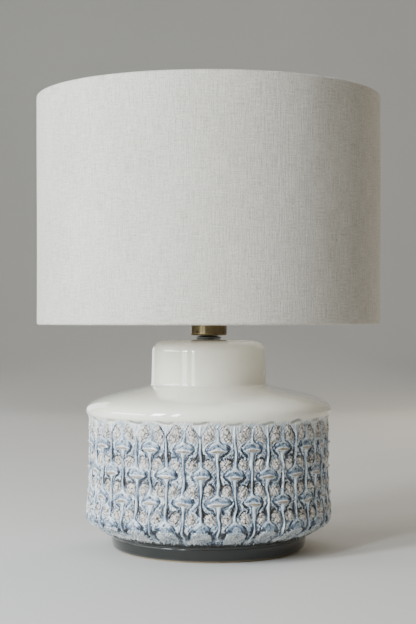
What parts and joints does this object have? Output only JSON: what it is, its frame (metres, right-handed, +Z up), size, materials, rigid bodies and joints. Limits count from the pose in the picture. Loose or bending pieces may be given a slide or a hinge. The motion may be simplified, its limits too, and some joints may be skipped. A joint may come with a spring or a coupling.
{
  "type": "table lamp with shade",
  "caption": "Round glazed ceramic table lamp with a relief-patterned band, a brass lampholder and a straight linen drum shade.",
  "frame": {"origin": "centre of the felt pad's resting face, on the lamp's axis", "axes": "+Z up along the lamp's axis, -Y the front, +Y the side the cord leaves from"},
  "size_m": [0.35, 0.35, 0.4592],
  "materials": {
    "glazed_ceramic": "glossy glaze, blue reactive relief on the band",
    "linen": "natural linen weave",
    "white_plastic": "satin",
    "white_enamelled_wire": "satin enamel",
    "antique_brass": "satin antique",
    "nickel_plate": "bright plate",
    "gunmetal": "satin gun-metal plate",
    "zinc_plated_steel": "dull plate",
    "black_rubber": "matte",
    "grey_plastic": "satin",
    "porcelain": "glazed",
    "black_glass": "vitrite",
    "opal_diffuser": "opal",
    "cream_felt": "felt",
    "fibreboard": "hardboard"
  },
  "bodies": {
    "base": {"ceramic_body": "glazed_ceramic", "felt_pad": "cream_felt", "base_board": "fibreboard", "cord_grommet": "grey_plastic", "threaded_nipple": "zinc_plated_steel", "seat_washer": "black_rubber", "seat_collar": "gunmetal", "clamp_washer": "zinc_plated_steel", "lock_washer": "zinc_plated_steel", "lock_nut": "zinc_plated_steel", "holder_nut": "zinc_plated_steel", "lampholder_cap": "antique_brass", "lampholder_skirt": "antique_brass", "terminal_block": "porcelain", "terminal_screw_1": "antique_brass", "terminal_screw_2": "antique_brass", "terminal_screw_3": "antique_brass", "screw_shell": "antique_brass", "centre_contact": "antique_brass", "shade_ring_lower": "antique_brass"},
    "shade": {"shade_fabric": "linen", "shade_liner": "white_plastic", "top_wire": "white_enamelled_wire", "bottom_wire": "white_enamelled_wire", "shade_arm_1": "white_enamelled_wire", "shade_arm_2": "white_enamelled_wire", "shade_arm_3": "white_enamelled_wire", "fitter_ring": "white_enamelled_wire"},
    "upper_ring": {"shade_ring_upper": "antique_brass"},
    "bulb": {"bulb_contact": "nickel_plate", "bulb_insulator": "black_glass", "bulb_screw_cap": "nickel_plate", "bulb_housing": "white_plastic", "bulb_globe": "opal_diffuser"}
  },
  "joints": [
    {"name": "shade_turn", "type": "hinge", "parent": "base", "child": "shade", "pos_m": [0, 0, 0.2504], "axis": [0, 0, 1], "continuous": true},
    {"name": "shade_ring_turn", "type": "hinge", "parent": "base", "child": "upper_ring", "pos_m": [0, 0, 0.2535], "axis": [0, 0, 1], "continuous": true},
    {"name": "bulb_lift", "type": "slide", "parent": "base", "child": "bulb", "axis": [0, 0, 1], "range_m": [0, 0.1]}
  ]
}
